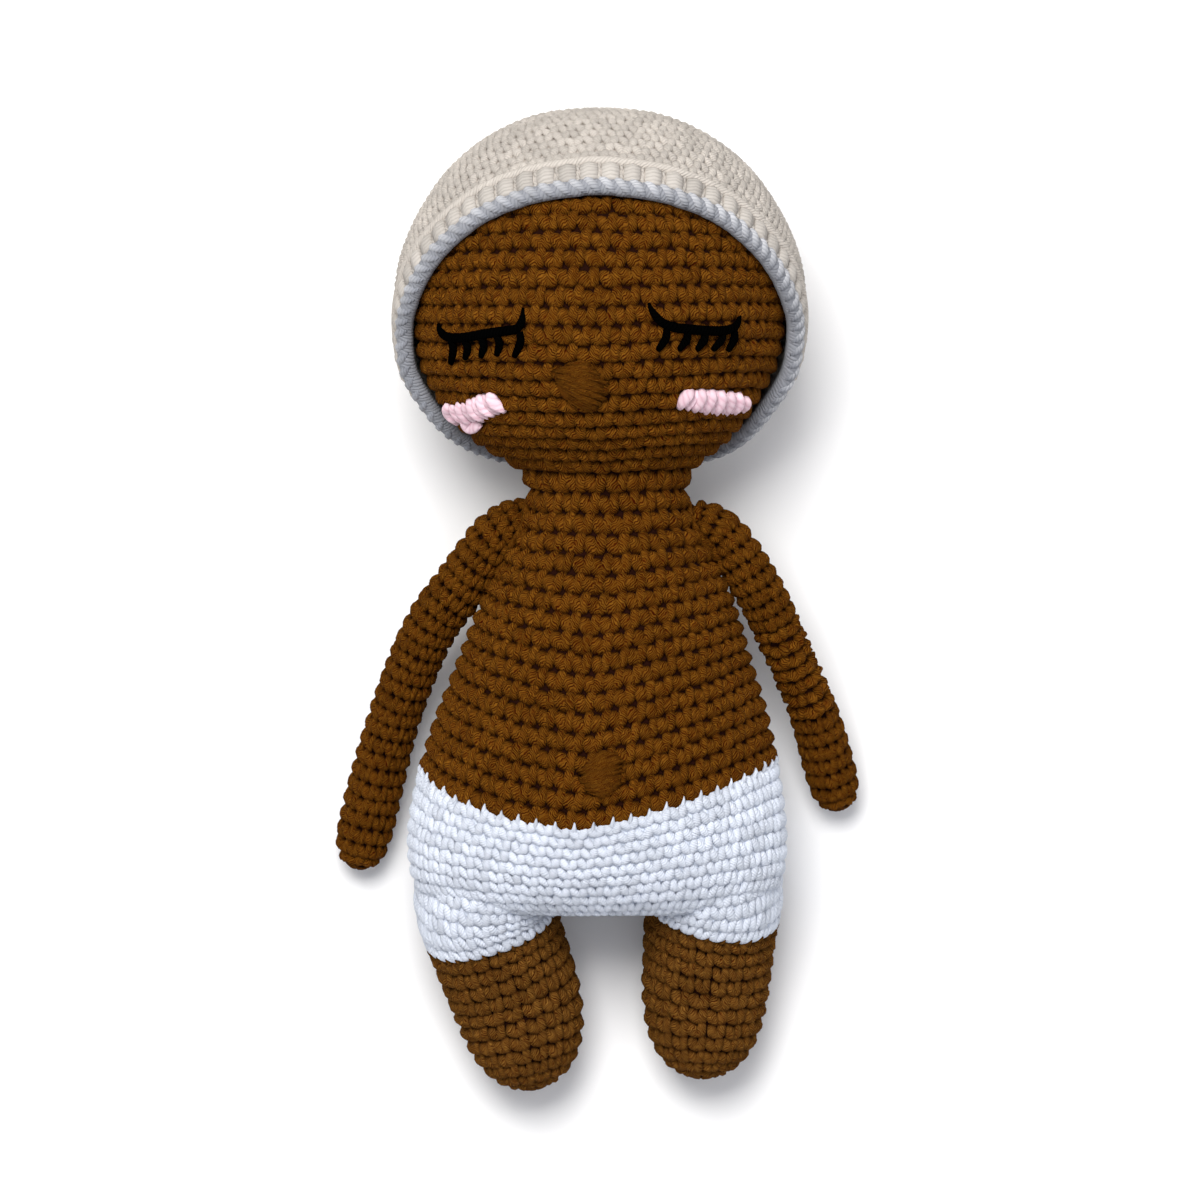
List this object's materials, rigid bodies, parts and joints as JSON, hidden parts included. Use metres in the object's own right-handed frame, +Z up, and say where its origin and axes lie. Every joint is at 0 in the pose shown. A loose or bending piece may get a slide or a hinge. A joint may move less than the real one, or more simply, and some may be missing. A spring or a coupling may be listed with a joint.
{
  "type": "amigurumi doll",
  "caption": "Crocheted doll lying on its back, closed embroidered eyes, white shorts worked into the body, sewn-on arms and a white bonnet.",
  "frame": {"origin": "on the table, under the middle of the doll as it lies on its back", "axes": "+Y from the feet to the crown, +Z up from the table and out of the face, +X to the right of the picture"},
  "size_m": [0.141, 0.26, 0.1005],
  "materials": {
    "brown_yarn": "matte plied yarn, single crochet",
    "white_yarn": "matte plied yarn, single crochet",
    "pink_yarn": "soft plied yarn strands",
    "black_thread": "matte embroidery thread",
    "fibre_fill": "loose polyester fibre"
  },
  "bodies": {
    "torso": {"torso_fabric": "brown_yarn", "shorts_fabric": "white_yarn", "body_stuffing": "fibre_fill", "navel": "brown_yarn", "left_shoulder_seam": "brown_yarn", "right_shoulder_seam": "brown_yarn"},
    "neck": {"neck_fabric": "brown_yarn", "neck_stuffing": "fibre_fill"},
    "head": {"head_fabric": "brown_yarn", "head_stuffing": "fibre_fill", "nose": "brown_yarn", "left_eye": "black_thread", "right_eye": "black_thread", "left_cheek": "pink_yarn", "right_cheek": "pink_yarn"},
    "cap": {"cap_crown": "white_yarn", "cap_edging": "white_yarn"},
    "left_arm": {"left_arm_fabric": "brown_yarn", "left_arm_stuffing": "fibre_fill"},
    "right_arm": {"right_arm_fabric": "brown_yarn", "right_arm_stuffing": "fibre_fill"},
    "left_leg": {"left_leg_fabric": "brown_yarn", "left_leg_stuffing": "fibre_fill"},
    "right_leg": {"right_leg_fabric": "brown_yarn", "right_leg_stuffing": "fibre_fill"}
  },
  "joints": [
    {"name": "head_nod", "type": "hinge", "parent": "torso", "child": "neck", "pos_m": [0.00378, 0.02652, 0.0455], "axis": [1, 0, 0], "range_deg": [-12, 15], "stiffness_Nm_per_rad": 0.1, "deforming": ["neck_fabric", "neck_stuffing"]},
    {"name": "head_turn", "type": "hinge", "parent": "neck", "child": "head", "pos_m": [0.00378, 0.03252, 0.0475], "axis": [0, 1, 0], "range_deg": [-35, 35], "stiffness_Nm_per_rad": 0.1},
    {"name": "cap_slip", "type": "hinge", "parent": "head", "child": "cap", "pos_m": [0.00118, 0.07655, 0.0525], "axis": [1, 0, 0], "range_deg": [0, 6]},
    {"name": "left_arm_raise", "type": "hinge", "parent": "torso", "child": "left_arm", "pos_m": [-0.02626, 0.01752, 0.04], "axis": [0, 0, -1], "range_deg": [0, 75]},
    {"name": "right_arm_raise", "type": "hinge", "parent": "torso", "child": "right_arm", "pos_m": [0.03327, 0.01752, 0.04], "axis": [0, 0, 1], "range_deg": [0, 75]},
    {"name": "left_leg_bend", "type": "hinge", "parent": "torso", "child": "left_leg", "pos_m": [-0.02743, -0.08951, 0.02408], "axis": [-1, 0, 0], "range_deg": [-5, 45], "stiffness_Nm_per_rad": 0.05, "deforming": ["shorts_fabric", "body_stuffing"]},
    {"name": "right_leg_bend", "type": "hinge", "parent": "torso", "child": "right_leg", "pos_m": [0.03049, -0.08507, 0.02453], "axis": [-1, 0, 0], "range_deg": [-5, 45], "stiffness_Nm_per_rad": 0.05, "deforming": ["shorts_fabric", "body_stuffing"]}
  ]
}
